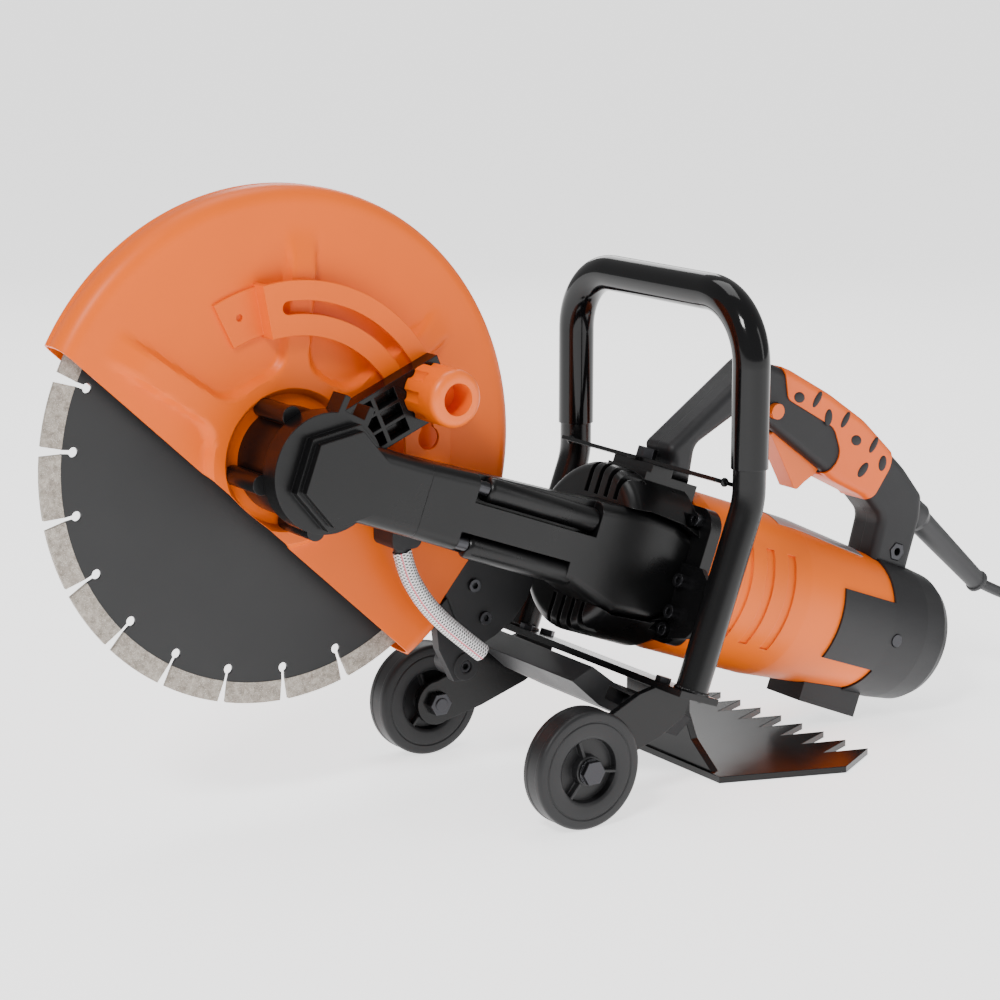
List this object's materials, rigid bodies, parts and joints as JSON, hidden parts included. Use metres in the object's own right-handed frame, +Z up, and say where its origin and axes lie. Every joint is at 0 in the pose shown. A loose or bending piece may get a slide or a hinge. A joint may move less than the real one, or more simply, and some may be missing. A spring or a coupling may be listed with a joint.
{
  "type": "electric concrete cut-off saw",
  "caption": "Hand-held electric disc cutter with guarded diamond blade on a belt arm, tilted motor, front and rear handles, two wheels and a toothed foot plate.",
  "frame": {"origin": "on the floor under the middle of the saw, without its mains lead", "axes": "+X from the blade to the motor's rear, +Y from the belt arm's side to the blade's side, +Z up"},
  "size_m": [1.0086, 0.2951, 0.449],
  "materials": {
    "guard_paint": "satin",
    "black_steel": "semi-gloss",
    "black_casting": "satin",
    "motor_plastic": "satin",
    "dark_plastic": "matte, fine grain",
    "grip_rubber": "satin",
    "orange_plastic": "satin",
    "sleeve_rubber": "gloss",
    "tyre": "matte",
    "zinc_steel": "zinc plated",
    "flange_steel": "machined",
    "blade_steel": "blackened",
    "blade_segment": "sintered, rough",
    "pulley_alloy": "machined",
    "lamination_steel": "laminated",
    "copper": "turned",
    "carbon": "matte",
    "inner_plastic": "matte",
    "belt_rubber": "matte",
    "clear_hose": "clear, braided",
    "cord_rubber": "matte",
    "plug_metal": "nickel plated"
  },
  "bodies": {
    "saw_frame": {"handle_tube": "black_steel", "handle_strap": "black_steel", "side_brackets": "black_steel", "wheel_frame": "black_steel", "claw_plate": "black_steel", "lock_bar": "black_steel", "guard_retainer": "black_steel", "arm_front_case": "black_casting", "arm_rear_case": "black_casting", "spindle_housing": "black_casting", "gear_housing": "black_casting", "motor_housing": "motor_plastic", "rear_cap": "dark_plastic", "motor_foot": "dark_plastic", "handle_left": "dark_plastic", "handle_right": "dark_plastic", "belly_cover": "dark_plastic", "grip_overmould": "grip_rubber", "handle_sleeve": "sleeve_rubber", "frame_bolts": "zinc_steel", "case_screws": "zinc_steel", "lock_stud": "zinc_steel", "handle_screws": "zinc_steel", "ball_bearings": "flange_steel", "stator": "lamination_steel", "carbon_brushes": "carbon", "trigger_switch": "inner_plastic", "drive_belt": "belt_rubber", "mains_cord": "cord_rubber", "cord_coil": "cord_rubber", "plug_body": "cord_rubber", "strain_relief": "cord_rubber", "plug_pins": "plug_metal"},
    "blade": {"blade_core": "blade_steel", "blade_segments": "blade_segment", "blade_flanges": "flange_steel", "arbor_bolt": "zinc_steel", "blade_spindle": "flange_steel", "driven_pulley": "pulley_alloy"},
    "jackshaft_set": {"jackshaft": "flange_steel", "bevel_gear": "flange_steel", "drive_pulley": "pulley_alloy"},
    "rotor": {"armature_shaft": "flange_steel", "rotor_core": "lamination_steel", "commutator": "copper", "cooling_fan": "inner_plastic", "bevel_pinion": "flange_steel"},
    "guard": {"guard_near_shell": "guard_paint", "guard_far_shell": "guard_paint", "guard_slot_bracket": "guard_paint", "rear_deflector": "dark_plastic", "deflector_block": "dark_plastic", "deflector_screws": "zinc_steel", "hose_connector": "dark_plastic", "water_hose": "clear_hose"},
    "knob": {"lock_knob": "orange_plastic"},
    "near_wheel_set": {"near_wheel": "tyre"},
    "far_wheel_set": {"far_wheel": "tyre"},
    "trigger_set": {"trigger": "orange_plastic"},
    "lock_button_set": {"lock_button": "orange_plastic"}
  },
  "joints": [
    {"name": "blade_spin", "type": "hinge", "parent": "saw_frame", "child": "blade", "pos_m": [-0.19632, 0, 0.26], "axis": [0, 1, 0], "continuous": true},
    {"name": "jackshaft_spin", "type": "hinge", "parent": "saw_frame", "child": "jackshaft_set", "pos_m": [0.06348, 0, 0.1639], "axis": [0, 1, 0], "continuous": true},
    {"name": "rotor_spin", "type": "hinge", "parent": "saw_frame", "child": "rotor", "pos_m": [0.17884, 0, 0.12123], "axis": [0.9379, 0, -0.3469], "continuous": true},
    {"name": "guard_swing", "type": "hinge", "parent": "saw_frame", "child": "guard", "pos_m": [-0.19632, 0, 0.26], "axis": [0, 1, 0], "range_deg": [-12, 65]},
    {"name": "knob_turn", "type": "hinge", "parent": "saw_frame", "child": "knob", "pos_m": [-0.09729, 0, 0.30183], "axis": [0, 1, 0], "range_deg": [0, 720]},
    {"name": "near_wheel_spin", "type": "hinge", "parent": "saw_frame", "child": "near_wheel_set", "pos_m": [-0.03632, -0.10475, 0.043], "axis": [0, 1, 0], "continuous": true},
    {"name": "far_wheel_spin", "type": "hinge", "parent": "saw_frame", "child": "far_wheel_set", "pos_m": [-0.03632, 0.10475, 0.043], "axis": [0, 1, 0], "continuous": true},
    {"name": "trigger_pull", "type": "hinge", "parent": "saw_frame", "child": "trigger_set", "pos_m": [0.21199, 0, 0.24544], "axis": [0, -1, 0], "range_deg": [0, 10], "stiffness_Nm_per_rad": 0.6, "springref_deg": -5.73},
    {"name": "lock_button_press", "type": "slide", "parent": "saw_frame", "child": "lock_button_set", "axis": [0, 1, 0], "range_m": [0, 0.003], "stiffness_N_per_m": 400, "springref_m": -0.001}
  ],
  "couplings": [
    {"joint": "jackshaft_spin", "follows": "blade_spin", "ratio": 1},
    {"joint": "rotor_spin", "follows": "blade_spin", "ratio": -2.6154}
  ]
}
